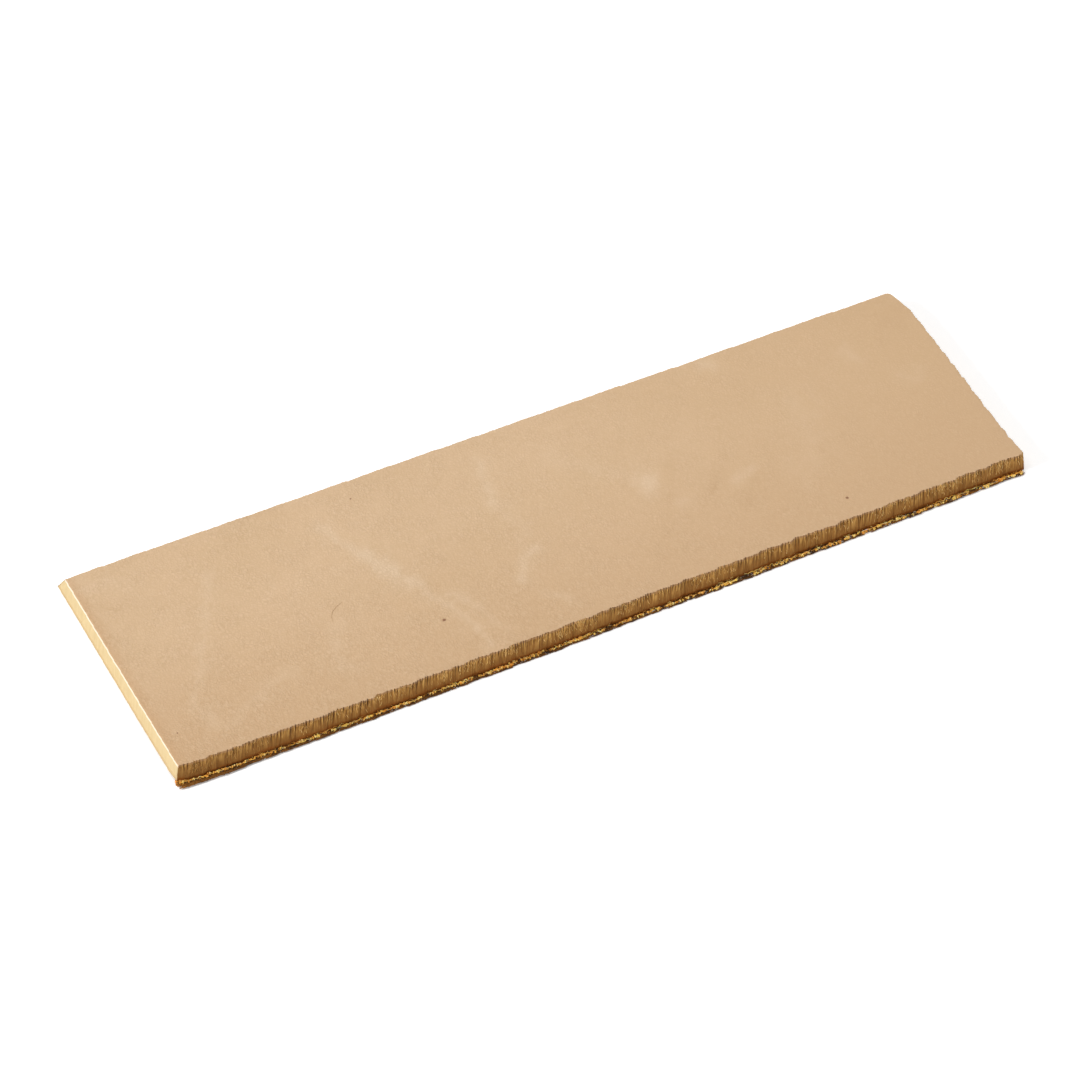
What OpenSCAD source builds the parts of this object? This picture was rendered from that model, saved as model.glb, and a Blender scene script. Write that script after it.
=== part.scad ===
// Strip of thick vegetable-tanned leather, used as a strop.
// It lies grain side up. X runs along the length, Y across the width and Z up.
// The origin is the centre of the underside. The hide is one piece whose three
// natural layers lie face to face: grain on top, corium in the middle, flesh below.

/* [Strip] */
// Length of the grain face along X
strip_length = 175; // [80:1:400]
// Width of the grain face along Y, halfway along it
strip_width = 51; // [25:1:100]
// How much wider the grain face is at its left end than at its right end
strip_taper = 2.4; // [0:0.1:6]

/* [Hide layers] */
// Thickness of the smooth grain layer
grain_thickness = 0.7; // [0.4:0.1:1.2]
// Thickness of the corium, the dense fibre body of the hide
corium_thickness = 3.5; // [1:0.1:6]
// Thickness of the loose flesh layer
flesh_thickness = 1.0; // [0.4:0.1:2]

/* [Cut edges] */
// How far the far long side slants outwards, from top to bottom
far_flare = 3.5; // [0:0.1:4]
// How far the near long side slants inwards, from top to bottom
near_undercut = 0.2; // [0:0.1:2]
// How far the left end slants outwards, from top to bottom
left_flare = 0.4; // [0:0.1:2]
// How far the right end slants outwards, from top to bottom
right_flare = 0.6; // [0:0.1:2]

/* [Worn corner] */
// How much of the grain face's length the worn corner at the far right takes
worn_corner_length = 1.5; // [0.5:0.1:6]
// How much of the grain face's width the worn corner at the far right takes
worn_corner_width = 5; // [1:0.1:12]

/* [Hidden] */

strip_thickness = flesh_thickness + corium_thickness + grain_thickness;

// Heights where one hide layer meets the next
flesh_top_z = flesh_thickness;
corium_top_z = flesh_thickness + corium_thickness;

// Angle in plan between each long side and X, as the strip narrows to the right
taper_angle = atan2(strip_taper / 2, strip_length);

// How far the strip reaches from the centre of the grain face, each way
left_reach = strip_length / 2 + left_flare;
right_reach = strip_length / 2 + right_flare;
near_reach = (strip_width + strip_taper / 2) / 2;
far_reach = strip_width / 2 + left_reach * tan(taper_angle) + far_flare / cos(taper_angle);

// Centre of the grain face, set so that the box around the whole strip is centred on X and Y
grain_centre = [(left_reach - right_reach) / 2, (near_reach - far_reach) / 2];

// Size of the blocks that the cuts are made with, larger than any strip
block = 4 * strip_length;

// Everything on the inner side of one knife cut. The cut runs through a point on the edge of
// the grain face, given from the face's centre. It faces the way that facing says, as an angle
// in plan, and moves outwards by flare from the top of the strip to its bottom.
module inside_cut(edge_point, facing, flare) {
    translate([grain_centre.x + edge_point.x, grain_centre.y + edge_point.y, strip_thickness])
        rotate([0, -atan2(flare, strip_thickness), facing])
            translate([-block, -block / 2, -block / 2])
                cube(block);
}

// The strip's shape in plan and its slanted sides, before it is cut into layers
module cut_block() {
    half_length = strip_length / 2;
    half_width = strip_width / 2;
    worn_half_width = half_width - strip_taper / 4;
    intersection() {
        inside_cut([-half_length, 0], 180, left_flare);
        inside_cut([half_length, 0], 0, right_flare);
        inside_cut([0, -half_width], -90 + taper_angle, -near_undercut);
        inside_cut([0, half_width], 90 - taper_angle, far_flare);
        inside_cut(
            [half_length, worn_half_width - worn_corner_width],
            atan2(worn_corner_length, worn_corner_width),
            0
        );
    }
}

// The part of the strip between two heights
module hide_slab(z_low, z_high) {
    intersection() {
        cut_block();
        translate([-block / 2, -block / 2, z_low])
            cube([block, block, z_high - z_low]);
    }
}

// Loose, napped fibres on the side that was next to the flesh
module flesh_layer() {
    color([0.72, 0.52, 0.28])
        hide_slab(0, flesh_top_z);
}

// Dense fibre body, which shows along every cut edge
module corium_layer() {
    color([0.78, 0.62, 0.38])
        hide_slab(flesh_top_z, corium_top_z);
}

// Smooth tan skin, the face that a blade is drawn along
module grain_layer() {
    color([0.83, 0.71, 0.56])
        hide_slab(corium_top_z, strip_thickness);
}

flesh_layer();
corium_layer();
grain_layer();
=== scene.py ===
"""Looks of the leather strop: a strip of thick vegetable-tanned hide, grain side up.

Lengths in this file are millimetres in the frame of the CAD model, and meshes are
written in metres. A detailed shell replaces each of the three hide layers, in its own
place, and loose fibres stand along the cut edges and under the strip.
"""

import math

import bpy
import numpy as np
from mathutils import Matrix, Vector


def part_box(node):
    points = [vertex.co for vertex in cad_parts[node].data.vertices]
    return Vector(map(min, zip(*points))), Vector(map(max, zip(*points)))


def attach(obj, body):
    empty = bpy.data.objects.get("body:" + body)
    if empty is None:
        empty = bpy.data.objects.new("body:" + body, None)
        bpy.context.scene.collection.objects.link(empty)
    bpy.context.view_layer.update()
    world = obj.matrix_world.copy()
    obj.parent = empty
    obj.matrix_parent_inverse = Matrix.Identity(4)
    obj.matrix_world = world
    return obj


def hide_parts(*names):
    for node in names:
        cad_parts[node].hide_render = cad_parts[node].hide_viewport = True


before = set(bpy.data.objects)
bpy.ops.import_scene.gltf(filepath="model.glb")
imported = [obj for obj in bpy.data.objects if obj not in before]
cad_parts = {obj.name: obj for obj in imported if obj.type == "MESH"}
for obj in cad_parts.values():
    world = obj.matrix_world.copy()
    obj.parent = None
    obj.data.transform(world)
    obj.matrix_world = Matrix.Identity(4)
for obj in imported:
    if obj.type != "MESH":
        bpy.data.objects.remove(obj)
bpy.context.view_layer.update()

MM = 0.001
BODY = "root"
SAME_POINT = 0.01   # millimetres within which two CAD corners are the same

# ---------------- sizes from the frame


def box_mm(node):
    """Lowest and highest corner of a CAD node, in millimetres."""
    low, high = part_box(node)
    return np.array(low) / MM, np.array(high) / MM


def corners_at(node, height):
    """The strip's corners at one height: near left, near right, far right and far left.

    The far right one is worn off, so it is where its sides would have met, and the two ends
    of the worn line are given too."""
    points = np.array([v.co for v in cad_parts[node].data.vertices]) / MM
    level = np.unique(points[abs(points[:, 2] - height) < SAME_POINT][:, :2].round(4), axis=0)
    x, y = level.T
    near_left = level[np.argmin(x + y)]
    near_right = level[np.argmax(x - y)]
    far_left = level[np.argmin(x - y)]
    whole = (near_left, near_right, far_left)
    worn = [p for p in level if not any(np.allclose(p, q, atol=SAME_POINT) for q in whole)]
    on_right = max(worn, key=lambda p: p[0])
    on_far = min(worn, key=lambda p: p[0])
    far_right = crossing(near_right, on_right, far_left, on_far)
    return np.array([near_left, near_right, far_right, far_left]), np.array([on_right, on_far])


def crossing(a, b, c, d):
    """Where the line through a and b meets the line through c and d."""
    sides = np.array([b - a, c - d]).T
    along, _ = np.linalg.solve(sides, c - a)
    return a + along * (b - a)


GRAIN_LOW, GRAIN_HIGH = box_mm("grain_layer")
FLESH_LOW, FLESH_HIGH = box_mm("flesh_layer")
THICKNESS = GRAIN_HIGH[2] - FLESH_LOW[2]
GRAIN_DEPTH = GRAIN_HIGH[2] - GRAIN_LOW[2]
FLESH_DEPTH = GRAIN_HIGH[2] - FLESH_HIGH[2]

TOP_CORNERS, WORN_LINE = corners_at("grain_layer", GRAIN_HIGH[2])
BOTTOM_CORNERS, _ = corners_at("flesh_layer", FLESH_LOW[2])
LENGTH = TOP_CORNERS[1][0] - TOP_CORNERS[0][0]
WIDTH = (TOP_CORNERS[3] - TOP_CORNERS[0] + TOP_CORNERS[2] - TOP_CORNERS[1])[1] / 2
FACE_CENTRE = np.array([*TOP_CORNERS.mean(axis=0), GRAIN_HIGH[2]])
LEFT_X, NEAR_Y = TOP_CORNERS[0]

# ---------------- seeded noise

LINE_SPAN = 400.0   # how much length noise_line covers, centred on 0
PLANE_SPAN = 260.0  # the same for each way across noise_plane


def smoothstep(value):
    value = np.clip(value, 0, 1)
    return value * value * (3 - 2 * value)


def bell(value):
    """Falls from 1 at 0 to nothing far from it, on both sides."""
    return np.exp(-(value ** 2))


def noise_line(seed, spacing):
    """A smooth random function of one length, from -1 to 1, with a knot at every spacing."""
    knots = np.random.default_rng(seed).uniform(-1, 1, int(LINE_SPAN / spacing) + 4)

    def sample(t):
        place = np.asarray(t, float) / spacing + len(knots) / 2
        index = np.clip(np.floor(place).astype(int), 0, len(knots) - 2)
        share = smoothstep(place - index)
        return knots[index] * (1 - share) + knots[index + 1] * share

    return sample


def noise_plane(seed, spacing):
    """A smooth random function of two lengths, from -1 to 1, with a knot at every spacing."""
    count = int(PLANE_SPAN / spacing) + 4
    knots = np.random.default_rng(seed).uniform(-1, 1, (count, count))

    def sample(x, y):
        places = [np.asarray(c, float) / spacing + count / 2 for c in (x, y)]
        index = [np.clip(np.floor(p).astype(int), 0, count - 2) for p in places]
        share = [smoothstep(p - i) for p, i in zip(places, index)]
        (i, j), (a, b) = index, share
        low = knots[i, j] * (1 - a) + knots[i + 1, j] * a
        high = knots[i, j + 1] * (1 - a) + knots[i + 1, j + 1] * a
        return low * (1 - b) + high * b

    return sample


# ---------------- how the knife left each side

MARKED = 400         # about how much of a cut the knife's random marks cover
MARKED_BEFORE = 100  # how much of that lies before the cut starts


def facets(seed, shortest, longest, height, turn=0.8):
    """A sawtooth along a cut: it rises over each facet, then steps back over the length turn."""
    rng = np.random.default_rng(seed)
    steps = rng.uniform(shortest, longest, int(MARKED / shortest))
    starts = np.cumsum(steps) - MARKED_BEFORE
    heights = height * rng.uniform(0.3, 1.0, len(starts))

    def sample(t):
        index = np.clip(np.searchsorted(starts, t) - 1, 0, len(starts) - 2)
        span = starts[index + 1] - starts[index]
        along = np.asarray(t) - starts[index]
        rise = along / (span - turn)
        fall = (span - along) / turn
        return heights[index] * (np.clip(np.minimum(rise, fall), 0, 1) - 0.5)

    return sample


def grooves(seed, pitch, width, deepest):
    """Scores down a cut: a function of the place along it and the depth below the grain face,
    which gives how deep each point lies in a score."""
    rng = np.random.default_rng(seed)
    centres = np.cumsum(rng.uniform(0.65, 1.35, int(MARKED / pitch)) * pitch) - MARKED_BEFORE
    depths = deepest * rng.uniform(0.45, 1.0, len(centres))
    reaches = THICKNESS * rng.uniform(0.45, 1.4, len(centres))
    leans = rng.normal(0.0, 0.025, len(centres))
    wander = noise_line(seed + 1, 1.3)

    def sample(t, depth):
        t = np.asarray(t, float) + 0.06 * wander(depth + 0.37 * np.asarray(t))
        nearest = np.clip(np.searchsorted(centres, t), 1, len(centres) - 1)
        total = np.zeros(np.broadcast(t, depth).shape)
        for index in (nearest - 1, nearest):
            off = t - centres[index] - leans[index] * depth
            fade = smoothstep((reaches[index] - depth) / (0.5 * THICKNESS))
            total = np.maximum(total, depths[index] * fade * bell(off / width))
        return total

    return sample


class Cut:
    """One of the four knife cuts."""

    def __init__(self, seed, facet, small_facet, pitch, groove, fade, ripple):
        self.coarse = facets(seed, *facet)
        self.fine = facets(seed + 10, *small_facet, turn=0.35)
        self.score = grooves(seed + 20, pitch, 0.18 * pitch, groove)
        self.wave = noise_line(seed + 30, 14.0)
        self.rough = noise_plane(seed + 40, 0.45)
        self.fade = fade
        self.ripple = ripple

    def scored(self, t, depth):
        """How deep in a score each point lies. The scores are shallower at the left corner."""
        along = np.asarray(t, float)
        strength = 1 - self.fade * smoothstep(along / 90.0)
        start = 0.6 + 0.4 * smoothstep((along - 8.0) / 12.0)
        return self.score(t, depth) * strength * start

    def stands_out(self, t, depth):
        """How far each point stands out of the flat cut. The facets fade towards the foot."""
        lower = smoothstep(depth / THICKNESS)
        chatter = (self.coarse(t) + self.fine(t)) * (1 - 0.55 * lower)
        rough = self.ripple * self.rough(t, depth)
        return chatter + 0.08 * self.wave(t) + rough - self.scored(t, depth)


# Seed; coarse and fine facets, each by shortest, longest and height; pitch and depth of the
# scores, and the share by which they fade along the strip; height of the roughness
CUTS = {
    "near": Cut(11, (6.0, 11.0, 0.45), (1.5, 3.2, 0.30), 0.58, 0.28, 0.25, 0.04),
    "right": Cut(12, (3.2, 5.6, 0.32), (1.6, 2.6, 0.16), 0.7, 0.12, 0.0, 0.03),
    "far": Cut(13, (7.0, 13.0, 0.22), (2.0, 4.0, 0.12), 0.66, 0.16, 0.2, 0.03),
    "left": Cut(14, (5.0, 9.0, 0.08), (2.0, 3.4, 0.10), 1.1, 0.02, 0.0, 0.008),
}
RUN_IN = 0.55        # how far the near cut starts inside its line, at the left corner
RUN_IN_LENGTH = 6.0
RUN_IN_REACH = 6.0   # how far in over the grain face the run-in and the belly reach
BELLY = 0.2          # how far the near cut bows out beyond its line, over its left half
BELLY_PLACE = 62.0
BELLY_LENGTH = 38.0
SPUR = 0.3           # how far the right end stands out at its near corner
SPUR_LENGTH = 2.4
END_OUT = 0.06       # how far the whole right end stands out
END_REACH = 3.0
BITE_HEIGHT = 0.9    # the torn foot of the near left corner
BITE_LENGTH = 3.4
BITE_DEPTH = 1.2
EDGE_FALLOFF = 0.7   # how far in from a cut its unevenness reaches on the grain face
WORN_SOFTNESS = 0.35
NIBBLE = 0.12        # how deep the nibbles along the worn corner are
CURL_LEFT = 0.3      # how far the near corners have curled up
CURL_RIGHT = 0.12
CURL_LENGTH = 30


def side_distances(u, v):
    """How far a point lies from each of the four cuts."""
    return {"near": v * WIDTH, "right": (1 - u) * LENGTH, "far": (1 - v) * WIDTH, "left": u * LENGTH}


def side_places(u, v):
    """How far along each of the four cuts a point lies, counted from the left or near end."""
    return {"near": u * LENGTH, "right": v * WIDTH, "far": u * LENGTH, "left": v * WIDTH}


OUTWARDS = {"near": (0, -1), "right": (1, 0), "far": (0, 1), "left": (-1, 0)}


def worn_in(plan):
    """Moves what lies outside the worn corner's line onto it, with a soft bend at each end."""
    start, end = WORN_LINE
    along = (end - start) / np.linalg.norm(end - start)
    normal = np.array([along[1], -along[0]])
    outside = (plan - start) @ normal
    kept = -WORN_SOFTNESS * np.logaddexp(0, -outside / WORN_SOFTNESS)
    nibble = NIBBLE * noise_line(77, 0.9)(plan @ along) * np.exp(-abs(outside) / 0.8)
    return plan + np.outer(kept - outside - nibble, normal)


def lift(x, y):
    """How far the hide has curled up off the table: a little at both near corners."""
    across = np.clip((TOP_CORNERS[3][1] - y) / WIDTH, 0, 1.05) ** 1.5
    from_left = np.clip(x - LEFT_X, 0, None) / CURL_LENGTH
    from_right = np.clip(LEFT_X + LENGTH - x, 0, None) / CURL_LENGTH
    return (CURL_LEFT * bell(from_left) + CURL_RIGHT * bell(from_right)) * across


def plan_at(u, v, depth):
    """X and Y of a point at shares u and v of the length and width, and a depth below the grain."""
    share = depth / THICKNESS
    weights = np.array([(1 - u) * (1 - v), u * (1 - v), u * v, (1 - u) * v])
    plan = weights.T @ TOP_CORNERS * (1 - share)[:, None]
    plan = plan + weights.T @ BOTTOM_CORNERS * share[:, None]
    far_from, places = side_distances(u, v), side_places(u, v)
    for side, cut in CUTS.items():
        out = cut.stands_out(places[side], depth) * np.exp(-far_from[side] / EDGE_FALLOFF)
        if side == "near":
            belly = BELLY * bell((places[side] - BELLY_PLACE) / BELLY_LENGTH)
            run_in = RUN_IN * bell(places[side] / RUN_IN_LENGTH)
            out = out + (belly - run_in) * np.exp(-far_from[side] / RUN_IN_REACH)
        if side == "right":
            spur = SPUR * bell(places[side] / SPUR_LENGTH)
            out = out + (spur + END_OUT) * np.exp(-far_from[side] / END_REACH)
        plan = plan + np.outer(out, OUTWARDS[side])
    return worn_in(plan)


def bite(u, v):
    """How high the torn foot of the near left corner has risen."""
    along = np.clip(1 - v * WIDTH / BITE_LENGTH, 0, 1)
    return BITE_HEIGHT * along * bell(u * LENGTH / BITE_DEPTH)


def edge_distance(u, v):
    """How far a point lies from the nearest cut."""
    return np.min(list(side_distances(u, v).values()), axis=0)


# ---------------- marks on the grain face

# Each mark is a soft stroke: points along it in X and Y, half its width and its strength.
# A positive strength is a pale stretch mark, and a negative one a darker fold.
STROKES = [
    ([(-40, 15), (-37, 8.5), (-34, 1), (-30.8, -4), (-28, -10.5), (-25.4, -18.4), (-24, -26)], 1.1, 0.85),
    ([(-35.5, 4.5), (-32.5, -1.5)], 1.7, 0.6),
    ([(-25, -10.5), (-22.2, -17), (-20, -23.5)], 1.1, 0.55),
    ([(-63.6, 13), (-65.8, 8), (-69.4, 1.6), (-75, -7.7), (-78.6, -15)], 1.0, 0.45),
    ([(-78.6, -15), (-78, -20), (-75.8, -22.4), (-70.8, -20), (-65, -17.7), (-59.4, -15.6)], 1.4, 0.4),
    ([(-48, -9), (-50.8, -15.6), (-51.5, -19), (-49, -20)], 1.3, 0.4),
    ([(-5, 16.6), (-6.8, 11.6), (-7.5, 7.3)], 1.0, 0.8),
    ([(-7.5, 7.3), (-6.5, 1.6), (-5.8, -4)], 1.4, 0.35),
    ([(-6.3, -7.7), (-9.4, -8.7), (-11.5, -13.4)], 1.0, 0.75),
    ([(-8.6, -19), (-6.5, -22)], 1.1, 0.5),
    ([(6.4, 12.3), (12, 6.6), (15.6, 3.7)], 1.8, 0.3),
    ([(20.2, -0.6), (19.9, -3.4)], 1.3, 1.0),
    ([(22.8, -8.6), (24.2, -9.6)], 1.4, 0.45),
    ([(36.4, -8.2), (39.2, -7.2)], 1.5, 0.65),
    ([(44.5, 21.2), (45.4, 20.6)], 1.3, 0.7),
    ([(71, 12.4), (71.8, 9.6)], 1.6, 0.4),
    ([(77.3, 1.4), (78.4, 0.4)], 1.7, 0.5),
    ([(56, 4.5), (53.5, -2.7), (49, -12.7)], 3.0, 0.25),
    ([(-86, 21), (-79, 19)], 2.6, 0.3),
    ([(27.1, 2.3), (24.2, -4), (19.9, -12.7), (14.2, -18.4)], 0.9, -0.5),
    ([(34.2, -4.9), (30.6, -9.1)], 1.3, -0.7),
    ([(30.6, -9.1), (22, -16.3), (18.5, -20)], 1.0, -0.4),
    ([(39.9, -9.9), (34.9, -14.9)], 1.3, -0.55),
    ([(38.5, 4.4), (37, -2.7)], 0.9, -0.35),
    ([(-86, 16.5), (-82.5, 12.5)], 1.3, -0.6),
    ([(-86.5, 10), (-85.5, 0)], 1.5, -0.4),
    ([(-17, -21), (-13, -24)], 3.0, -0.3),
    ([(84.5, 20), (82, 16)], 2.5, -0.5),
]


def distance_to_segment(x, y, a, b):
    a, b = np.array(a, float), np.array(b, float)
    along = b - a
    share = np.clip(((x - a[0]) * along[0] + (y - a[1]) * along[1]) / (along @ along), 0, 1)
    return np.hypot(x - a[0] - share * along[0], y - a[1] - share * along[1])


def stroke_value(x, y):
    """How pale, or if negative how dark, the strokes make each point of the grain face."""
    ragged = noise_plane(61, 2.6)(x, y) + 0.7 * noise_plane(62, 1.1)(x, y)
    x = x + 0.6 * noise_plane(63, 4.0)(x, y) + 0.4 * noise_plane(64, 1.4)(x, y)
    y = y + 0.6 * noise_plane(65, 4.0)(x, y) + 0.4 * noise_plane(66, 1.4)(x, y)
    total = np.zeros(len(x))
    for points, half_width, strength in STROKES:
        nearest = np.min(
            [distance_to_segment(x, y, a, b) for a, b in zip(points, points[1:])], axis=0
        )
        reach = half_width * (1.15 + 0.5 * ragged)
        total += strength * np.exp(-((nearest / np.maximum(reach, 0.4)) ** 1.5))
    return total * (0.75 + 0.3 * ragged)


def grain_relief(x, y):
    """Height of the grain face above its flat plane."""
    broad = 0.05 * noise_plane(51, 20.0)(x, y) + 0.012 * noise_plane(52, 6.0)(x, y)
    fine = 0.006 * noise_plane(53, 2.2)(x, y) + 0.008 * noise_plane(54, 0.95)(x, y)
    return broad + fine - 0.012 * stroke_value(x, y)


def flesh_relief(x, y):
    """How far the napped underside lies above the lowest fibres."""
    clumps = 0.5 + 0.5 * noise_plane(71, 1.9)(x, y)
    fine = 0.5 + 0.5 * noise_plane(72, 0.8)(x, y)
    return 0.06 + 0.16 * clumps * fine + 0.08 * fine


# ---------------- shells

FINE_X, FINE_Y = 1536, 448   # steps along a long side and an end, where the cuts show
COARSENING = 4               # fine steps to one step of the faces


class Shell:
    """A closed skin of loops, each a ring of points, joined into strips and filled at both ends."""

    def __init__(self, name):
        self.name = name
        self.points, self.depths, self.uv = [], [], []
        self.faces = []
        self.sharp = []
        self.count = 0

    def add(self, u, v, depth, relief):
        """Adds points at shares u and v of the length and width, and returns their numbers."""
        depth = np.broadcast_to(np.asarray(depth, float), u.shape)
        raised = relief(u, v, depth) if relief else 0.0
        plan = plan_at(u, v, depth)
        height = GRAIN_HIGH[2] - depth * (1 - bite(u, v) / THICKNESS) + raised + lift(*plan.T)
        self.points.append(np.column_stack([plan, height]))
        self.depths.append(depth)
        self.uv.append(np.column_stack([u, v]))
        numbers = np.arange(self.count, self.count + len(u))
        self.count += len(u)
        return numbers

    def loop(self, steps, inset, depth, relief=None):
        """Adds a ring of points, inset from the cuts."""
        return self.add(*ring(steps, inset), depth, relief)

    def rows(self, edge, insets, depths, relief):
        """Joins on one fine loop after another, and returns the last."""
        for inset, depth in np.broadcast(insets, depths):
            after = self.loop(FINE, inset, depth, relief)
            self.join(edge, after)
            edge = after
        return edge

    def face(self, corners, forwards=True):
        """Adds faces, given the numbers of all their first corners, all their second and so on."""
        faces = np.column_stack(corners)
        self.faces += (faces if forwards else faces[:, ::-1]).tolist()

    def join(self, a, b):
        """Faces between two loops, a then b, seen from outside. One may be coarser than the other."""
        if len(a) == len(b):
            self.face([a, np.roll(a, -1), np.roll(b, -1), b])
        elif len(a) > len(b):
            self.fan(a, b, True)
        else:
            self.fan(b, a, False)

    def fan(self, fine, coarse, fine_first):
        """Triangles from each point of a coarse loop to its share of a finer one."""
        step = len(fine) // len(coarse)
        half = step // 2
        after, next_coarse = np.roll(fine, -1), np.roll(coarse, -1)
        for k in range(step):
            apex = coarse if k < half else next_coarse
            self.face([fine[k::step], after[k::step], apex], fine_first)
        self.face([fine[half::step], next_coarse, coarse], fine_first)

    def fill(self, loop, steps, inset, depth, up, relief=None):
        """Fills a coarse loop with a grid of quads."""
        nx, ny = steps
        within = [c[1:-1] for c in spaced(steps, inset)]
        u, v = (c.ravel() for c in np.meshgrid(*within, indexing="ij"))
        inner = self.add(u, v, depth, relief)
        grid = np.empty((nx + 1, ny + 1), int)
        grid[1:-1, 1:-1] = inner.reshape(nx - 1, ny - 1)
        grid[:-1, 0] = loop[:nx]
        grid[-1, :-1] = loop[nx:nx + ny]
        grid[:0:-1, -1] = loop[nx + ny:2 * nx + ny]
        grid[0, :0:-1] = loop[2 * nx + ny:]
        quads = [grid[:-1, :-1], grid[1:, :-1], grid[1:, 1:], grid[:-1, 1:]]
        self.face([q.ravel() for q in quads], up)


def spaced(steps, inset):
    """Even shares of the length, and of the width, from one inset to the other."""
    lowest = inset / LENGTH, inset / WIDTH
    return [np.linspace(low, 1 - low, count + 1) for low, count in zip(lowest, steps)]


def ring(steps, inset):
    """Shares of length and width round a ring: near side, right end, far side, left end."""
    nx, ny = steps
    along, across = spaced(steps, inset)
    u = np.concatenate([along[:-1], np.full(ny, along[-1]), along[:0:-1], np.full(ny, along[0])])
    v = np.concatenate([np.full(nx, across[0]), across[:-1], np.full(nx, across[-1]), across[:0:-1]])
    return u, v


FINE = (FINE_X, FINE_Y)
COARSE = (FINE_X // COARSENING, FINE_Y // COARSENING)
COARSEST = (COARSE[0] // COARSENING, COARSE[1] // COARSENING)


def hidden_cap(shell, rim, depth, up):
    """Closes a layer where it meets the next one, with few faces, as none of them show."""
    shell.sharp.append(rim)
    for steps, inset in zip((COARSE, COARSEST), CAP_INSETS):
        inner = shell.loop(steps, inset, depth)
        shell.join(*((rim, inner) if up else (inner, rim)))
        rim = inner
    shell.fill(rim, COARSEST, CAP_INSETS[-1], depth, up)


def even_rows(start, end, count):
    """Depths of rows evenly spaced from a start, which is left out, to an end."""
    return start + (end - start) * np.arange(1, count + 1) / count


RIM_DROP = 0.10     # how far the knife pulled the edge of the grain face down
RIM_WIDTH = 0.12
RIM_HEIGHT = 0.25   # how far down a cut the relief of the grain face reaches
FOOT_RISE = 0.06    # how far the worn foot of each cut stands clear of the table
FOOT_WIDTH = 0.8
FOOT_WEAR = {"near": 1.0, "right": 0.7, "far": 0.9, "left": 0.15}
# Places of the loops of points, in millimetres: depths down a cut, and insets from it
GRAIN_ROWS = (0.46, 0.26, 0.11, 0.0)
GRAIN_INSETS = (0.07, 0.18, 0.4, 0.75)
FACE_INSET = 1.2
CAP_INSETS = (1.2, 4.0)
CORIUM_ROWS = 14
FLESH_ROWS = 5
FLESH_INSETS = (0.8, 0.35, 0.12)
UNDERSIDE_INSET = 1.4
FOOT_DEPTH = 0.08   # how far above the foot the lowest loop of a cut lies


def rim_relief(u, v, depth):
    """Height that a cut takes from the grain face at its top, and from its worn foot."""
    depth = np.broadcast_to(depth, u.shape)
    near_top = np.exp(-depth / RIM_HEIGHT)
    below = np.clip((depth - FLESH_DEPTH) / (THICKNESS - FLESH_DEPTH), 0, 1)
    return near_top * top_relief(u, v, 0.0) + below * foot_rise(u, v)


def foot_rise(u, v):
    """How far the underside turns up towards each cut."""
    far_from = side_distances(u, v)
    rises = [wear * np.exp(-far_from[side] / FOOT_WIDTH) for side, wear in FOOT_WEAR.items()]
    return FOOT_RISE * np.max(rises, axis=0)


def top_relief(u, v, _):
    """Height of the grain face, where the depth is 0."""
    drop = RIM_DROP * np.exp(-edge_distance(u, v) / RIM_WIDTH)
    return grain_relief(LEFT_X + u * LENGTH, NEAR_Y + v * WIDTH) - drop


def bottom_relief(u, v, _):
    """Height of the underside, where the depth is the full thickness."""
    return flesh_relief(LEFT_X + u * LENGTH, NEAR_Y + v * WIDTH) + foot_rise(u, v)


def grain_shell():
    shell = Shell("grain_skin")
    rim = shell.loop(FINE, 0.0, GRAIN_DEPTH, rim_relief)
    hidden_cap(shell, rim, GRAIN_DEPTH, up=False)
    edge = shell.rows(rim, 0.0, GRAIN_ROWS, rim_relief)
    edge = shell.rows(edge, GRAIN_INSETS, 0.0, top_relief)
    coarse = shell.loop(COARSE, FACE_INSET, 0.0, top_relief)
    shell.join(edge, coarse)
    shell.fill(coarse, COARSE, FACE_INSET, 0.0, True, top_relief)
    return shell


def corium_shell():
    shell = Shell("corium_body")
    rim = shell.loop(FINE, 0.0, FLESH_DEPTH, rim_relief)
    hidden_cap(shell, rim, FLESH_DEPTH, up=False)
    top = shell.rows(rim, 0.0, even_rows(FLESH_DEPTH, GRAIN_DEPTH, CORIUM_ROWS), rim_relief)
    hidden_cap(shell, top, GRAIN_DEPTH, up=True)
    return shell


def flesh_shell():
    shell = Shell("flesh_nap")
    edge = shell.loop(COARSE, UNDERSIDE_INSET, THICKNESS, bottom_relief)
    shell.fill(edge, COARSE, UNDERSIDE_INSET, THICKNESS, False, bottom_relief)
    edge = shell.rows(edge, FLESH_INSETS, THICKNESS, bottom_relief)
    foot = shell.rows(edge, 0.0, THICKNESS - FOOT_DEPTH, rim_relief)
    top = shell.rows(foot, 0.0, even_rows(THICKNESS, FLESH_DEPTH, FLESH_ROWS), rim_relief)
    hidden_cap(shell, top, FLESH_DEPTH, up=True)
    return shell


# How brown each cut is. The cuts are one leather with the cream left end, so their brown is partly their
# colour and partly painted shade.
BROWN_AND_SHADE = {"near": 1.0, "right": 0.55, "far": 1.0, "left": 0.0}
DEEP_SCORE = 0.28    # a score this deep is as dark as they get


def cut_values(uv, depths):
    """Whether each point is on a cut, how brown the cut is, partly as painted shade, and how deep in a
    score it lies.
    """
    u, v = uv.T
    far_from, places = side_distances(u, v), side_places(u, v)
    on_cut = (edge_distance(u, v) < 0.005) & (depths > 0.02)
    scored = brown = np.zeros(len(u))
    for side, cut in CUTS.items():
        here = BROWN_AND_SHADE[side] * np.exp(-far_from[side] / 0.12)
        scored = np.maximum(scored, here * cut.scored(places[side], depths) / DEEP_SCORE)
        brown = np.maximum(brown, here)
    return {"on_cut": on_cut, "brown": brown, "scored": scored}


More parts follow.
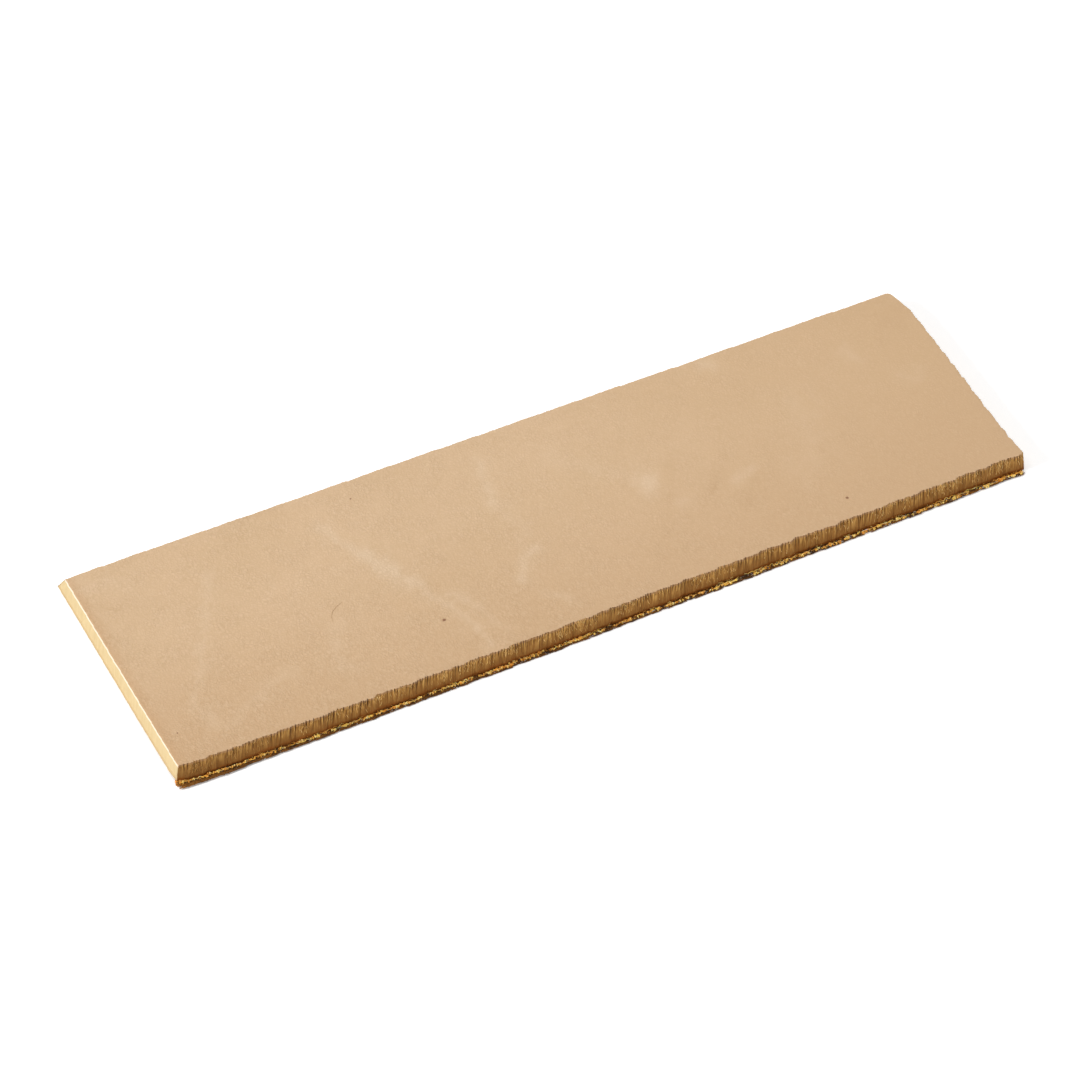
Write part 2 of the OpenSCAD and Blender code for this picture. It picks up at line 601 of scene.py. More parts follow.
def make_object(name, points, faces, material, smooth=True):
    mesh = bpy.data.meshes.new(name)
    mesh.from_pydata((points * MM).tolist(), [], faces)
    mesh.polygons.foreach_set("use_smooth", np.full(len(mesh.polygons), smooth))
    mesh.materials.append(material)
    mesh.update()
    piece = bpy.data.objects.new(name, mesh)
    bpy.context.scene.collection.objects.link(piece)
    return piece


def add_values(piece, **values):
    """Stores a number for each point, which the materials read by name."""
    for name, numbers in values.items():
        layer = piece.data.attributes.new(name, "FLOAT", "POINT")
        layer.data.foreach_set("value", np.asarray(numbers, np.float32))


def mark_sharp(piece, rims, uv):
    """Keeps the shading crisp up each corner, and where a cut meets the next layer."""
    mesh = piece.data
    ends = np.empty(len(mesh.edges) * 2, int)
    mesh.edges.foreach_get("vertices", ends)
    ends = ends.reshape(-1, 2)
    on_rim = np.zeros(len(mesh.vertices), bool)
    for rim in rims:
        on_rim[rim] = True
    at_corner = (abs(uv - 0.5) == 0.5).all(axis=1)
    sharp = mesh.attributes.new("sharp_edge", "BOOLEAN", "EDGE")
    sharp.data.foreach_set("value", on_rim[ends].all(axis=1) | at_corner[ends].all(axis=1))


def build_shell(shell, material):
    points, depths, uv = map(np.concatenate, (shell.points, shell.depths, shell.uv))
    piece = make_object(shell.name, points, shell.faces, material)
    add_values(piece, **cut_values(uv, depths), depth=depths, stroke=stroke_value(*points.T[:2]))
    mark_sharp(piece, shell.sharp, uv)
    return piece


# ---------------- loose fibres


def tubes(paths, radii, sides):
    """Points and faces of many closed tubes. Each row of paths holds the points of one tube."""
    count, rings, _ = paths.shape
    along = np.gradient(paths, axis=1)
    along /= np.linalg.norm(along, axis=2, keepdims=True) + 1e-9
    helper = np.where(abs(along[..., 2:3]) < 0.8, [[[0.0, 0.0, 1.0]]], [[[1.0, 0.0, 0.0]]])
    first = np.cross(along, helper)
    first /= np.linalg.norm(first, axis=2, keepdims=True) + 1e-9
    second = np.cross(along, first)
    angles = 2 * np.pi * np.arange(sides) / sides
    taper = np.sqrt(np.clip(np.sin(np.pi * (np.arange(rings) + 0.7) / (rings + 0.4)), 0.05, 1))
    size = radii[:, None] * taper
    ring_points = paths[:, :, None] + size[..., None, None] * (
        first[:, :, None] * np.cos(angles)[:, None] + second[:, :, None] * np.sin(angles)[:, None]
    )
    numbers = np.arange(count * rings * sides).reshape(count, rings, sides)
    a, b = numbers[:, :-1], numbers[:, 1:]
    quads = np.stack([a, b, np.roll(b, -1, axis=2), np.roll(a, -1, axis=2)], axis=-1)
    faces = quads.reshape(-1, 4).tolist()
    faces += numbers[:, 0].tolist()
    faces += numbers[:, -1, ::-1].tolist()
    return ring_points.reshape(-1, 3), faces


def edge_points(side, t, depth):
    """Points on a cut, at places t along it and depths below the grain face."""
    if side == "right":
        u, v = np.ones(len(t)), t / WIDTH
    else:
        u, v = t / LENGTH, np.full(len(t), float(side == "far"))
    return np.column_stack([plan_at(u, v, depth), GRAIN_HIGH[2] - depth])


def displaced(base, side, along, out, up):
    """Paths from points on a cut, moved along it, out of it and up."""
    outwards = np.array([*OUTWARDS[side], 0.0])
    lengthways = abs(outwards[[1, 0, 2]])
    paths = base + along[..., None] * lengthways + out[..., None] * outwards
    paths[..., 2] += up
    return paths


def settle(paths, radii, highest):
    """Keeps fibres between the table and a height, and lifts them with the curled hide."""
    lifted = lift(paths[..., 0], paths[..., 1])
    paths[..., 2] = np.clip(paths[..., 2] + lifted, radii[:, None] + 0.01, highest + lifted)
    return paths, radii


# Where the fringe starts and ends along each cut
FRINGED = {"near": (0.6, LENGTH - 0.9), "far": (4.0, LENGTH - 3.4), "right": (1.2, WIDTH - 5.5)}
CLUMP_SPACING = 1.6
HALFWAY = 90.0          # where the near cut's fringe changes from its left half to its right
HALFWAY_LENGTH = 20.0
# The mat under the fringe is partly a painted shadow
SHADOW_MAT_CORNER = 25.0       # how far the near left corner changes the mat
CURL_CORNER = 18.0      # and the curls


def right_half(t):
    """Rises from 0 to 1 halfway along the near cut."""
    return smoothstep((t - HALFWAY) / HALFWAY_LENGTH)


def left_corner(t, reach):
    """Falls from 1 to 0 within reach of the near left corner."""
    return 1 - smoothstep(t / reach)


def clump_places(rng, side, count, spread):
    """Places along a cut, half of them gathered in clumps, as pilled fibres do."""
    start, end = FRINGED[side]
    centres = rng.uniform(start, end, int((end - start) / CLUMP_SPACING))
    weights = rng.gamma(2.0, 1.0, len(centres))
    if side == "near":
        weights *= 1 + 0.5 * right_half(centres)
    places = rng.choice(centres, count, p=weights / weights.sum()) + rng.normal(0, spread, count)
    spread_out = rng.uniform(0, 1, count) < 0.5
    places[spread_out] = rng.uniform(start, end, spread_out.sum())
    return np.clip(places, start, end)


def curls(rng, side, count):
    """Small loops of fibre that stand out of the lower edge."""
    t = clump_places(rng, side, count, 0.3)
    depth = rng.uniform(THICKNESS - 0.55, THICKNESS - 0.2, count)
    further = 0.1 * t / LENGTH
    if side == "near":
        depth -= 0.3 * left_corner(t, CURL_CORNER)
        further = further + (0.18 * right_half(t) + 0.15 * left_corner(t, CURL_CORNER))
    base = edge_points(side, t, depth)
    share = np.linspace(0, 1, 16)
    turn = share * rng.uniform(4.0, 11.0, (count, 1)) + rng.uniform(0, 2 * np.pi, (count, 1))
    radius = rng.uniform(0.09, 0.22, (count, 1)) * (1 - 0.35 * share)
    drift = (share - 0.5) * rng.normal(0, 0.4, (count, 1))
    reach = rng.uniform(0.15, 0.52, (count, 1)) + further[:, None]
    up = radius * np.sin(turn) * rng.uniform(0.7, 1.1, (count, 1))
    along = drift + 0.5 * radius * np.sin(1.7 * turn)
    paths = displaced(base[:, None], side, along, reach + radius * np.cos(turn), up)
    return settle(paths, rng.uniform(0.06, 0.13, count), 0.85)


def runners(rng, side, count):
    """Long fibres that wander along the lower edge."""
    steps = 26
    start = rng.uniform(*FRINGED[side], count)
    reach = rng.uniform(2.0, 6.0, count)
    reach = np.minimum(reach, FRINGED[side][1] + 0.5 - start)
    t = start[:, None] + np.linspace(0, 1, steps) * reach[:, None]
    depth = rng.uniform(THICKNESS - 0.6, THICKNESS - 0.25, count)
    base = edge_points(side, t.ravel(), np.repeat(depth, steps)).reshape(count, steps, 3)
    phase = rng.uniform(0, 6.3, (count, 2))
    rate = rng.uniform(2.5, 6.5, (count, 2))
    out = np.sin(t * rate[:, :1] + phase[:, :1]) * rng.uniform(0.06, 0.18, (count, 1))
    up = np.sin(t * rate[:, 1:] + phase[:, 1:]) * rng.uniform(0.06, 0.18, (count, 1))
    paths = displaced(base, side, 0 * t, out + rng.uniform(0.1, 0.5, (count, 1)), up)
    return settle(paths, rng.uniform(0.05, 0.09, count), 0.85)


def shadow_matting(rng, side, count):
    """Short fibres felted into a dark mat under the fringe, denser at the left of the near cut; the dark
    is partly painted shadow.
    """
    start, end = FRINGED[side]
    t = start + (end - start) * rng.uniform(0, 1, count) ** (1.3 if side == "near" else 1.0)
    base = edge_points(side, t, np.full(count, THICKNESS - 0.2))
    share = np.linspace(-0.5, 0.5, 6)
    reach = rng.uniform(0.7, 1.8, (count, 1))
    bend = rng.normal(0, 0.4, (count, 1))
    widest = np.full(count, 0.5)
    if side == "near":
        widest = 1.1 - 0.3 * t / LENGTH + 0.3 * left_corner(t, SHADOW_MAT_CORNER) + 0.17 * right_half(t)
    out = rng.uniform(-0.05, 1.0, (count, 1)) * widest[:, None] + bend * share ** 2
    up = rng.uniform(-0.22, 0.08, (count, 1)) * (1 - out)
    up = up + rng.normal(0, 0.1, (count, 1)) * share
    paths = displaced(base[:, None], side, share * reach, out, up)
    return settle(paths, rng.uniform(0.06, 0.10, count), 0.6)


def wisps(rng, side, count):
    """Short hairs that point out of the lower edge."""
    t = clump_places(rng, side, count, 0.5)
    base = edge_points(side, t, rng.uniform(THICKNESS - 0.9, THICKNESS - 0.2, count))
    share = np.linspace(0, 1, 6)
    reach = rng.uniform(0.2, 0.6, (count, 1))
    along = share ** 2 * rng.normal(0, 0.5, (count, 1))
    up = share ** 1.5 * rng.normal(-0.15, 0.3, (count, 1))
    paths = displaced(base[:, None], side, along, share * reach - 0.08, up)
    return settle(paths, rng.uniform(0.022, 0.045, count), 1.4)


def joined(groups):
    """One set of points and faces from several."""
    points, faces, start = [], [], 0
    for group_points, group_faces in groups:
        faces += [[n + start for n in face] for face in group_faces]
        points.append(group_points)
        start += len(group_points)
    return np.concatenate(points), faces


def edge_fringe(side, seed, density, material):
    """The golden fringe along the lower edge of one cut, and the darker felted mat under it, partly a
    painted shadow.
    """
    rng = np.random.default_rng(seed)
    axis = int(side == "right")
    amount = density * (LENGTH, WIDTH)[axis]
    # How each kind is grown, its fibres per millimetre, the sides of its tubes, and its tones
    kinds = [
        (curls, 4.1, 6, (0.35, 1.0)),
        (runners, 0.4, 5, (0.2, 1.0)),
        (wisps, 1.8, 3, (0.2, 1.0)),
        (shadow_matting, 20.0, 4, (0.0, 0.08 if side == "near" else 0.25)),
    ]
    grown = [grow(rng, side, int(per_mm * amount)) for grow, per_mm, _, _ in kinds]
    patches = noise_line(seed + 50, 0.6)
    groups, tones = [], []
    for (paths, radii), (_, _, sides, (low, high)) in zip(grown, kinds):
        tone = rng.uniform(low, high, len(radii))
        tone += 0.45 * high * patches(paths[:, :, axis].mean(axis=1))
        groups.append(tubes(paths, radii, sides))
        tones.append(np.repeat(np.clip(tone, 0, 1), paths.shape[1] * sides))
    if side == "near":
        # The mat, partly a painted shadow, is paler towards the left corner
        tones[-1] += 0.04 * left_corner(groups[-1][0][:, 0] - GRAIN_LOW[0], SHADOW_MAT_CORNER)
    fringe = make_object(side + "_edge_fibres", *joined(groups[:-1]), material)
    shadow_mat = make_object(side + "_edge_shadow_mat", *groups[-1], material)
    add_values(fringe, tone=np.concatenate(tones[:-1]))
    add_values(shadow_mat, tone=tones[-1])
    return fringe, shadow_mat


def fibre_piece(name, fibres, sides, tone, material):
    """One piece of many fibres, from their paths and radii, with a tone for each."""
    piece = make_object(name, *tubes(*fibres, sides), material)
    add_values(piece, tone=np.repeat(tone, fibres[0].shape[1] * sides))
    return piece


def underside_fibres(seed, count, material):
    """Matted fibres that lie flat under the strip."""
    rng = np.random.default_rng(seed)
    u, v = rng.uniform(0.005, 0.995, count), rng.uniform(0.01, 0.99, count)
    plan = plan_at(u, v, np.full(count, THICKNESS))
    steps = 7
    share = np.linspace(-0.5, 0.5, steps)
    heading = rng.normal(0.4, 1.1, (count, 1)) + share * rng.normal(0, 2.2, (count, 1))
    reach = rng.uniform(0.8, 2.6, (count, 1)) / steps
    x = plan[:, :1] + np.cumsum(np.cos(heading) * reach, axis=1)
    y = plan[:, 1:] + np.cumsum(np.sin(heading) * reach, axis=1)
    z = 0.05 + 0.10 * np.cos(np.pi * share) * rng.uniform(0.2, 1.0, (count, 1))
    x = np.clip(x, LEFT_X + 0.4, LEFT_X + LENGTH - 0.4)
    y = np.clip(y, NEAR_Y + 1.2, BOTTOM_CORNERS[2][1] - 0.6)
    fibres = settle(np.stack([x, y, z], axis=-1), rng.uniform(0.03, 0.06, count), 0.3)
    return fibre_piece("underside_fibres", fibres, 3, rng.uniform(0.1, 0.9, count), material)


def side_fibres(seed, count, material):
    """Thin pale fibres that the knife combed down the near cut, thickest near the grain face."""
    rng = np.random.default_rng(seed)
    centres = rng.uniform(0, LENGTH, int(LENGTH / 2.2))
    t = rng.choice(centres, count) + rng.normal(0, 0.7, count)
    steps = 7
    top = 2.6 * rng.uniform(0.02, 1.0, count) ** 1.8
    reach = rng.uniform(0.35, 1.4, count)
    depth = top[:, None] + np.linspace(0, 1, steps) * reach[:, None]
    depth = np.clip(depth, 0.03, FLESH_DEPTH)
    lean = rng.normal(0.05, 0.16, (count, 1))
    place = t[:, None] + lean * (depth - depth[:, :1]) + 0.06 * np.sin(4 * depth + t[:, None])
    place = np.clip(place, 0.02, LENGTH - 0.02)
    paths = edge_points("near", place.ravel(), depth.ravel()).reshape(count, steps, 3)
    paths[..., 1] -= rng.uniform(-0.02, 0.10, (count, 1)) * np.sin(np.linspace(0.3, 3.1, steps))
    paths[..., 2] += lift(paths[..., 0], paths[..., 1])
    radii = rng.uniform(0.03, 0.055, count)
    tone = rng.uniform(0.0, 1.0, count) * (0.3 + 0.7 * smoothstep((t - 8.0) / 16.0))
    return fibre_piece("near_side_fibres", (paths, radii), 4, tone, material)


def corner_tuft(seed, count, material):
    """A tuft of curled fibre that hangs from the near left corner of the foot."""
    rng = np.random.default_rng(seed)
    share = np.linspace(0, 1, 14)
    corner = plan_at(np.array([0.0]), np.array([0.0]), np.array([THICKNESS - 0.3]))[0]
    turn = share * rng.uniform(3.0, 8.0, (count, 1)) + rng.uniform(0, 6.3, (count, 1))
    radius = rng.uniform(0.12, 0.3, (count, 1))
    away = rng.gamma(1.3, 0.5, (count, 1))
    x = corner[0] + 0.05 + away + radius * np.cos(turn)
    y = corner[1] + rng.normal(0.15, 0.25, (count, 1)) + radius * np.sin(1.3 * turn)
    top = 0.5 + (BITE_HEIGHT - 0.4) * bell(away / BITE_DEPTH)
    z = rng.uniform(-0.1, 1.0, (count, 1)) * top + radius * np.sin(turn) - 0.1 * share
    fibres = settle(np.stack([x, y, z], axis=-1), rng.uniform(0.06, 0.11, count), BITE_HEIGHT)
    return fibre_piece("corner_tuft", fibres, 5, rng.uniform(0.0, 0.5, count), material)


def stray_hair(material):
    """One short brown hair that lies in a curve on the grain face."""
    bends = np.array([(-47.7, -7.6), (-47.4, -6.4), (-46.7, -5.3), (-45.5, -4.5), (-44.0, -3.9)])
    share = np.linspace(0, len(bends) - 1, 17)
    x, y = (np.interp(share, range(len(bends)), places) for places in bends.T)
    z = GRAIN_HIGH[2] + grain_relief(x, y) + lift(x, y) + 0.02
    hair = tubes(np.stack([x, y, z], axis=-1)[None], np.array([0.032]), 5)
    return make_object("stray_hair", *hair, material)


# ---------------- materials


class Nodes:
    """Short calls for building the node tree of a material, or of the sky."""

    def __init__(self, owner, shader="Principled BSDF", place="Object"):
        owner.use_nodes = True
        self.owner = owner
        self.tree = owner.node_tree
        self.shader = self.tree.nodes[shader]
        self.place = self.out(place, "ShaderNodeTexCoord")

    def out(self, output, kind, inputs=None, **settings):
        """Makes a node, and returns one of its outputs."""
        node = self.tree.nodes.new(kind)
        for name, value in settings.items():
            setattr(node, name, value)
        self.feed(node, inputs or {})
        return node.outputs[output]

    def feed(self, node, inputs):
        """Gives a node's inputs their values, each a constant or another node's output."""
        for name, value in inputs.items():
            if isinstance(value, bpy.types.NodeSocket):
                self.tree.links.new(value, node.inputs[name])
            else:
                node.inputs[name].default_value = value

    def finish(self, colour, roughness, specular, height, depth_mm, strength):
        """Gives the shader its values, and returns the material."""
        bump = {"Height": height, "Distance": depth_mm * MM, "Strength": strength}
        self.feed(self.shader, {
            "Base Color": colour, "Roughness": roughness, "Specular IOR Level": specular,
            "Normal": self.out("Normal", "ShaderNodeBump", bump),
        })
        return self.owner

    def value(self, name):
        return self.out("Fac", "ShaderNodeAttribute", attribute_name=name)

    def times(self, a, b):
        return self.out(0, "ShaderNodeMath", {0: a, 1: b}, operation="MULTIPLY")

    def plus(self, a, b):
        return self.out(0, "ShaderNodeMath", {0: a, 1: b}, operation="ADD")

    def vector(self, operation, a, b, output=0):
        return self.out(output, "ShaderNodeVectorMath", {0: a, 1: b}, operation=operation)

    def ramp(self, value, low, high, to_low=0.0, to_high=1.0):
        return self.out("Result", "ShaderNodeMapRange", {
            "Value": value, "From Min": low, "From Max": high, "To Min": to_low, "To Max": to_high,
        })

    def mix(self, factor, *colours):
        """Blends two colours, each a node's output or a shade of red, green and blue up to 255."""
        a, b = (srgb(*c) if isinstance(c, tuple) else c for c in colours)
        return self.out(2, "ShaderNodeMix", {0: factor, 6: a, 7: b}, data_type="RGBA")

    def tints(self, colour, *layers):
        """Mixes shades into a colour in turn, each as its value goes from one number to another.

        A layer holds the value, the two numbers, the most that it mixes in, and the shade."""
        for value, low, high, most, shade in layers:
            colour = self.mix(self.ramp(value, low, high, 0.0, most), colour, shade)
        return colour

    def noise(self, per_mm, detail=2.0, rough=0.5, stretch=(1, 1, 1), distortion=0.0):
        place = self.place
        if stretch != (1, 1, 1):
            place = self.out(0, "ShaderNodeMapping", {"Vector": place, "Scale": stretch})
        return self.out("Fac", "ShaderNodeTexNoise", {
            "Vector": place, "Scale": per_mm / MM, "Detail": detail,
            "Roughness": rough, "Distortion": distortion,
        })

    def warped(self, per_mm, amount):
        """Coordinates pushed about by noise, so that a pattern loses its regularity."""
        noise = self.out("Color", "ShaderNodeTexNoise", {"Vector": self.place, "Scale": per_mm / MM})
        centred = self.vector("SUBTRACT", noise, (0.5, 0.5, 0.5))
        return self.vector("ADD", self.place, self.vector("MULTIPLY", centred, [amount * MM] * 3))


def srgb(red, green, blue):
    """A colour from screen values of 0 to 255."""
    def linear(c):
        c = c / 255
        return c / 12.92 if c <= 0.04045 else ((c + 0.055) / 1.055) ** 2.4
    return (linear(red), linear(green), linear(blue), 1.0)


SPECKS = [((-29.2, -16.3), 0.34), ((52.2, -22.0), 0.30), ((-31.4, 19.4), 0.18), ((-84.6, -20.0), 0.2)]


def along_strip(n, start, end):
    """Rises from 0 to 1 between two places along the length, in millimetres from the left."""
    x = n.out(0, "ShaderNodeSeparateXYZ", {0: n.place})
    return n.ramp(x, (LEFT_X + start) * MM, (LEFT_X + end) * MM)


def across_strip(n, start, end):
    """Rises from 0 to 1 between two places across the width, in millimetres from the near side."""
    y = n.out(1, "ShaderNodeSeparateXYZ", {0: n.place})
    return n.ramp(y, (NEAR_Y + start) * MM, (NEAR_Y + end) * MM)


def grain_material():
    n = Nodes(bpy.data.materials.new("grain_leather_skin"))
    cloud = n.noise(0.05, 2, 0.5)
    mottle = n.noise(0.35, 3, 0.6)
    corner = n.times(across_strip(n, 26.0, 2.0), along_strip(n, 45.0, 5.0))
    stroke = n.value("stroke")
    # Slow changes of tone over the hide, and the finer cloudiness of the tanning. The
    # darkening towards the right end, the near side and the near left corner is partly the
    # hide's tone and partly painted shade. Of the strokes, stretch marks are paler and folds darker.
    colour = n.tints(
        n.mix(n.ramp(cloud, 0.35, 0.65), (203, 172, 136), (207, 176, 141)),
        (mottle, 0.3, 0.7, 0.35, (200, 168, 131)),
        # darker towards the right end, the near side and the near left corner: partly painted shade
        (along_strip(n, 85.0, 175.0), 0.0, 1.0, 0.8, (197, 164, 126)),
        (across_strip(n, 32.0, 0.0), 0.0, 1.0, 0.85, (194, 160, 123)),
        (corner, 0.0, 1.0, 0.45, (190, 155, 117)),
        (along_strip(n, 2.2, 0.4), 0.0, 1.0, 0.6, (190, 152, 112)),
        (stroke, 0.0, 1.0, 0.55, (217, 192, 162)),
        (stroke, 0.0, -1.0, 0.40, (184, 150, 111)),
    )
    # The grain itself: small warped cells with creases between them, finest at the right end
    crease = n.out("Distance", "ShaderNodeTexVoronoi", {
        "Vector": n.warped(1.1, 0.55), "Scale": 1.55 / MM,
    }, feature="DISTANCE_TO_EDGE")
    crease = n.ramp(crease, 0.0, 0.30)
    fibre = n.noise(1.9, 2, 0.6, stretch=(1.1, 0.55, 1.0), distortion=0.8)
    coarseness = n.ramp(along_strip(n, 175.0, 60.0), 0.0, 1.0, 0.35, 1.0)
    plump = n.ramp(n.noise(0.22, 2, 0.6), 0.38, 0.62, 0.6, 1.15)
    # The creases are painted darker, as shade falling in them
    crease_shade = n.times(n.times(n.ramp(crease, 0.0, 1.0, 0.16, 0.0), coarseness), plump)
    colour = n.mix(crease_shade, colour, (150, 114, 76))
    fibre_tint = n.times(n.times(n.ramp(fibre, 0.40, 0.65, 0.0, 0.20), coarseness), plump)
    colour = n.mix(fibre_tint, colour, (222, 196, 164))
    for (x, y), radius in SPECKS:
        flat = n.vector("MULTIPLY", n.warped(2.0, 0.7), (1, 1, 0))
        away = n.vector("DISTANCE", flat, (x * MM, y * MM, 0), "Value")
        speck = (away, radius * 1.2 * MM, radius * 0.6 * MM, 0.85, (122, 78, 52))
        colour = n.tints(colour, speck)
    # The cut rim of the grain layer: pale at the left end, brown and scored along the sides, the brown
    # partly painted shade
    rim = n.mix(n.value("brown"), (240, 224, 200), (168, 124, 74))
    rim = n.tints(rim, (n.value("scored"), 0.08, 0.5, 0.9, (92, 62, 34)))
    colour = n.mix(n.value("on_cut"), colour, rim)
    relief = n.times(n.times(n.plus(crease, fibre), coarseness), plump)
    return n.finish(colour, n.ramp(crease, 0.0, 1.0, 0.72, 0.56), 0.3, relief, 0.045, 0.8)


def scored_side(n, hair, streak):
    """The colour of a brown cut: streaked down its height, darker at the foot and in the scores."""
    depth = n.value("depth")
    calm = n.ramp(depth, 0.3, 3.0, 1.25, 0.4)
    patch = n.noise(0.55, 2, 0.6, stretch=(1.0, 1.0, 0.5))
    golden = n.times(n.ramp(patch, 0.48, 0.66), n.ramp(depth, 2.8, 0.6, 0.0, 0.6))
    scored = n.times(n.value("scored"), n.ramp(depth, 0.0, 3.0, 1.4, 0.4))
    side = n.mix(n.ramp(streak, 0.35, 0.65), (144, 98, 41), (161, 113, 52))
    side = n.mix(n.times(n.ramp(hair, 0.50, 0.64, 0.0, 0.8), calm), side, (216, 168, 94))
    side = n.mix(n.times(n.ramp(hair, 0.46, 0.32, 0.0, 0.8), calm), side, (96, 62, 26))
    side = n.mix(golden, side, (206, 156, 84))
    # The dark foot, partly painted shade just above the fringe, has a wavering upper limit, highest in the
    # left third of the strip
    waver = n.ramp(n.noise(0.45, 2, 0.6), 0.35, 0.65, -0.3, 0.3)
    high = n.times(n.ramp(along_strip(n, 40.0, 110.0), 0, 1, 0.35, -0.15), along_strip(n, 8.0, 20.0))
    return n.tints(
        side,
        (scored, 0.1, 0.6, 0.95, (78, 49, 20)),
        (depth, 1.6, 4.0, 0.55, (130, 82, 34)),
        (along_strip(n, 20.0, 5.0), 0.0, 1.0, 0.17, (104, 70, 32)),
        # the dark foot: partly painted shade above the fringe
        (n.plus(n.plus(depth, waver), high), 3.9, 4.5, 0.9, (140, 84, 28)),
    )


def corium_material():
    n = Nodes(bpy.data.materials.new("cut_corium"))
    streak = n.noise(1.5, 3, 0.6, stretch=(1.0, 1.0, 0.12))
    hair = n.noise(3.0, 2, 0.6, stretch=(1.0, 1.0, 0.08))
    # The left end is cream and the other cuts brown; they are one leather, and the brown is partly its
    # colour and partly painted shade
    end = n.mix(n.ramp(streak, 0.35, 0.65), (209, 184, 137), (215, 192, 146))
    colour = n.mix(n.value("brown"), end, scored_side(n, hair, streak))
    height = n.times(hair, n.ramp(n.value("brown"), 0.0, 1.0, 0.15, 1.0))
    return n.finish(colour, 0.85, 0.2, height, 0.10, 0.8)


def flesh_material():
    n = Nodes(bpy.data.materials.new("napped_flesh"))
    clump = n.noise(0.6, 3, 0.6)
    hair = n.noise(3.2, 3, 0.65, distortion=1.5)
    colour = n.tints(
        n.mix(n.ramp(clump, 0.3, 0.7), (150, 106, 58), (190, 144, 88)),
        (hair, 0.5, 0.75, 0.8, (222, 180, 118)),
        (hair, 0.45, 0.2, 0.8, (96, 62, 30)),
    )
    # The brown cuts are darkest here, partly painted shade just above the fringe, and the left end keeps
    # its cream colour to the foot
    foot = n.mix(n.value("brown"), (206, 178, 132), (134, 80, 30))
    colour = n.mix(n.value("on_cut"), colour, foot)
    return n.finish(colour, 0.95, 0.12, hair, 0.08, 0.8)


def fibre_material(name, matted, middle, light, painted_glint):
    """A fibre, whose stored tone runs from matted and dark to bright, with painted highlights on flecks of
    its brighter tones.
    """
    n = Nodes(bpy.data.materials.new(name))
    tone = n.value("tone")
    fleck = n.noise(2.5, 2, 0.6)
    colour = n.mix(n.ramp(tone, 0.0, 0.4), matted, middle)
    colour = n.mix(n.ramp(tone, 0.4, 1.0), colour, light)
    # Painted highlights: the last colour, mixed onto flecks of the brighter fibres
    glint_share = n.times(n.ramp(fleck, 0.45, 0.65), n.ramp(tone, 0.2, 0.8))
    return n.finish(n.mix(glint_share, colour, painted_glint), 0.45, 0.22, fleck, 0.02, 0.5)


# ---------------- the pieces


def place_piece(piece, replaced=None):
    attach(piece, BODY)
    if replaced:
        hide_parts(replaced)


def build_strop():
    # Each fibre's colours run matted, middle, light, then a painted highlight
    gold = fibre_material("golden_fibre", (58, 36, 14), (236, 154, 48), (255, 213, 98), (255, 240, 166))
    pale = fibre_material("combed_fibre", (168, 121, 58), (206, 156, 84), (236, 190, 110), (252, 220, 152))
    brown = fibre_material("brown_hair", (146, 106, 64), (158, 116, 72), (168, 126, 80), (178, 136, 92))
    layers = [
        (grain_shell(), grain_material(), "grain_leather", "grain_layer"),
        (corium_shell(), corium_material(), "corium_leather", "corium_layer"),
        (flesh_shell(), flesh_material(), "flesh_leather", "flesh_layer"),
    ]
    for shell, material, slot, node in layers:
        place_piece(build_shell(shell, material), node)
    for side, seed, density in [("near", 201, 1.0), ("far", 202, 0.7), ("right", 204, 0.7)]:
        for piece in edge_fringe(side, seed, density, gold):
            place_piece(piece)
    place_piece(corner_tuft(207, 230, gold))
    place_piece(side_fibres(205, 950, pale))
    place_piece(underside_fibres(206, 3600, gold))
    place_piece(stray_hair(brown))


# ---------------- floor, light and camera

# The photograph's view, in degrees and millimetres
AZIMUTH = -26.48
ELEVATION = 46.57
DISTANCE = 1089.8
SENSOR_WIDTH = 36.0
LENS = 193.95
AIM_RIGHT = -1.847   # how far the camera's aim lies from the middle of the grain face
AIM_UP = -4.16

FLOOR_HALF = 3000.0
GREY = 0.93
GLOW = (0.2, 0.57)           # the floor's own light close to the strip, and far from it
GLOW_DISTANCE = (0.8, 2.6)   # between which it grows, in metres
SKY = (1.0, 0.33)            # strength of the sky at the horizon, and higher up
SKY_HEIGHT = (0.06, 0.25)    # between which it falls, as the upward part of the direction


def direction(azimuth, elevation):
    """Towards a place in the studio. Azimuth 0 is in front of the strip's near side."""
    a, e = math.radians(azimuth), math.radians(elevation)
    return Vector((math.sin(a) * math.cos(e), -math.cos(a) * math.cos(e), math.sin(e)))


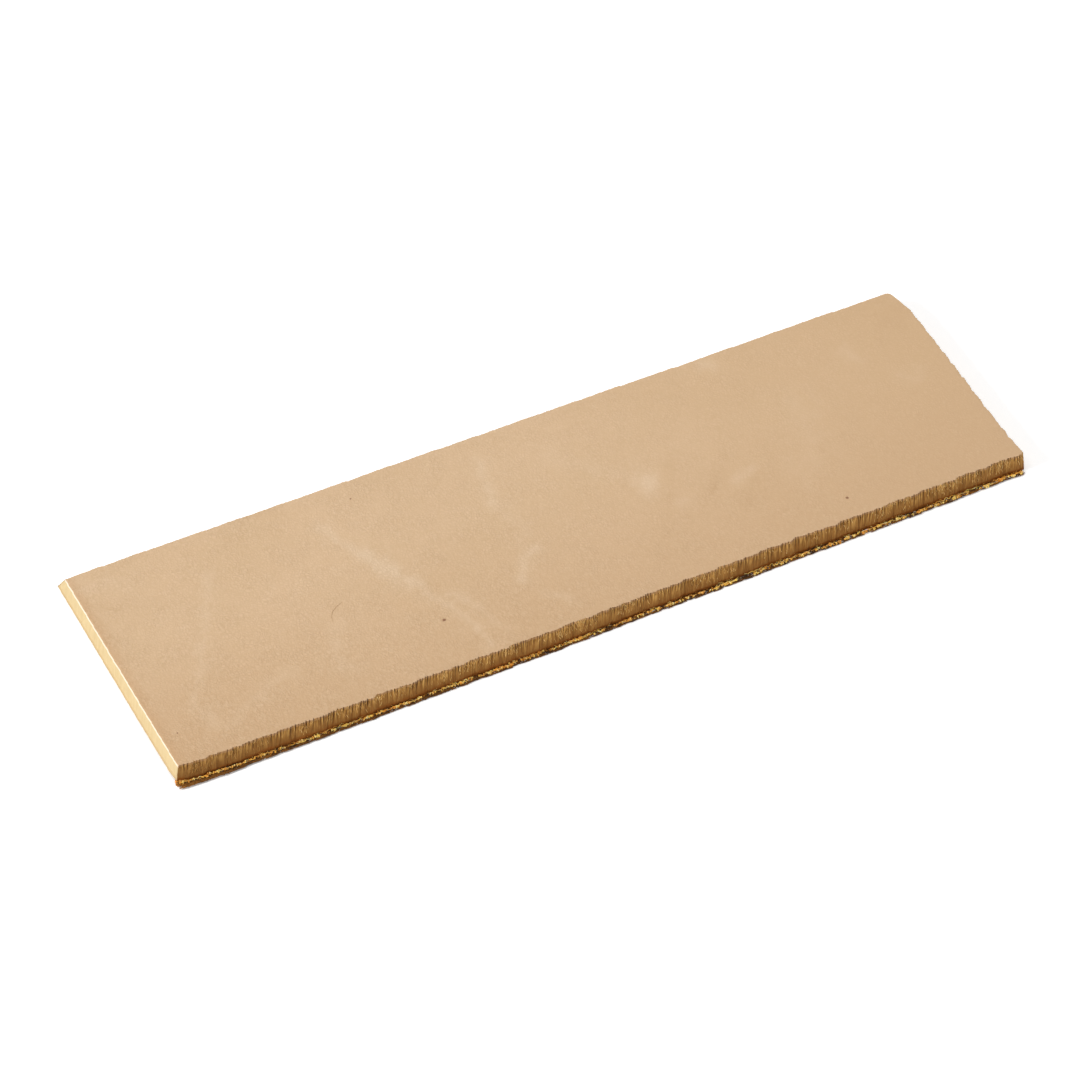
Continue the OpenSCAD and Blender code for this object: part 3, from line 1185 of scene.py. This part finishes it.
def set_up(name, data, location, away):
    """Puts a light or camera in the scene, facing the opposite way to away."""
    thing = bpy.data.objects.new(name, data)
    thing.location = location
    thing.rotation_mode = "QUATERNION"
    thing.rotation_quaternion = (-away).to_track_quat("-Z", "Y")
    bpy.context.scene.collection.objects.link(thing)
    return thing


def build_floor():
    corners = FLOOR_HALF * np.array([[-1, -1, 0], [1, -1, 0], [1, 1, 0], [-1, 1, 0]])
    n = Nodes(bpy.data.materials.new("pale_floor"))
    away = n.out("Value", "ShaderNodeVectorMath", {0: n.place}, operation="LENGTH")
    n.feed(n.shader, {
        "Base Color": (GREY, GREY, GREY, 1), "Roughness": 0.9, "Specular IOR Level": 0.0,
        "Emission Color": (1, 1, 1, 1), "Emission Strength": n.ramp(away, *GLOW_DISTANCE, *GLOW),
    })
    floor = make_object("floor", corners, [[0, 1, 2, 3]], n.owner, smooth=False)


def softbox(name, azimuth, elevation, away, size, power):
    """A square area light that faces the strip, with its distance and size in metres."""
    data = bpy.data.lights.new(name, "AREA")
    data.shape = "SQUARE"
    data.size = size
    data.energy = power
    towards = direction(azimuth, elevation)
    set_up(name, data, towards * away, towards)


def build_lights():
    softbox("key_light", -88.0, 37.0, 2.0, 0.25, 19.5)
    softbox("top_light", 0.0, 88.0, 2.0, 2.2, 28.0)
    # The sky is palest near the horizon, where the studio walls would be
    n = Nodes(bpy.data.worlds.new("studio"), "Background", "Generated")
    height = n.out("Z", "ShaderNodeSeparateXYZ", {0: n.place})
    n.feed(n.shader, {"Color": (1, 1, 1, 1), "Strength": n.ramp(height, *SKY_HEIGHT, *SKY)})
    bpy.context.scene.world = n.owner
    bpy.context.scene.view_settings.view_transform = "Standard"


def build_camera():
    back = direction(AZIMUTH, ELEVATION)
    right = (-back).cross(Vector((0, 0, 1))).normalized()
    up = right.cross(-back)
    data = bpy.data.cameras.new("camera")
    data.sensor_width = SENSOR_WIDTH
    data.lens = LENS
    data.clip_start = 0.05
    data.clip_end = 20.0
    place = Vector(FACE_CENTRE) + back * DISTANCE + right * AIM_RIGHT + up * AIM_UP
    bpy.context.scene.camera = set_up("camera", data, place * MM, back)


build_camera()
build_floor()
build_lights()
build_strop()
